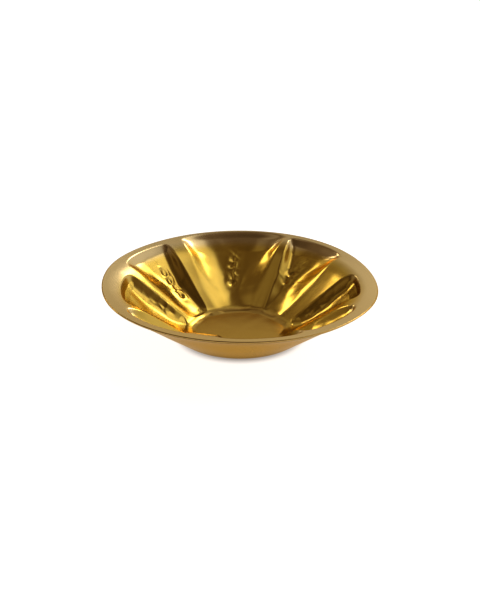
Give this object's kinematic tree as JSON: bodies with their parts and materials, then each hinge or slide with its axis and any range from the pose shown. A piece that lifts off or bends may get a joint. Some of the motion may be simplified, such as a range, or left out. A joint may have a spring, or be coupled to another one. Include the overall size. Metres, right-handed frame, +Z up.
{
  "type": "double-walled decorative bowl",
  "caption": "Wide shallow brass bowl with a smooth conical outer wall, a liner with pockets pressed out between ridges, a gently wavy rim and a flat base on felt feet.",
  "frame": {"origin": "centre of the plane that the felt feet rest on", "axes": "+Z up, -Y towards the side that the front view looks at, +X to that view's right"},
  "size_m": [0.4, 0.4, 0.0872],
  "materials": {
    "liner_brass": "satin",
    "outer_brass": "satin",
    "bead_brass": "satin",
    "plug_rubber": "matt",
    "foot_felt": "felt"
  },
  "bodies": {
    "root": {"inner_skin": "liner_brass", "outer_skin": "outer_brass", "rim_bead": "bead_brass", "vent_plug": "plug_rubber", "felt_foot_1": "foot_felt", "felt_foot_2": "foot_felt", "felt_foot_3": "foot_felt", "felt_foot_4": "foot_felt"}
  },
  "joints": []
}
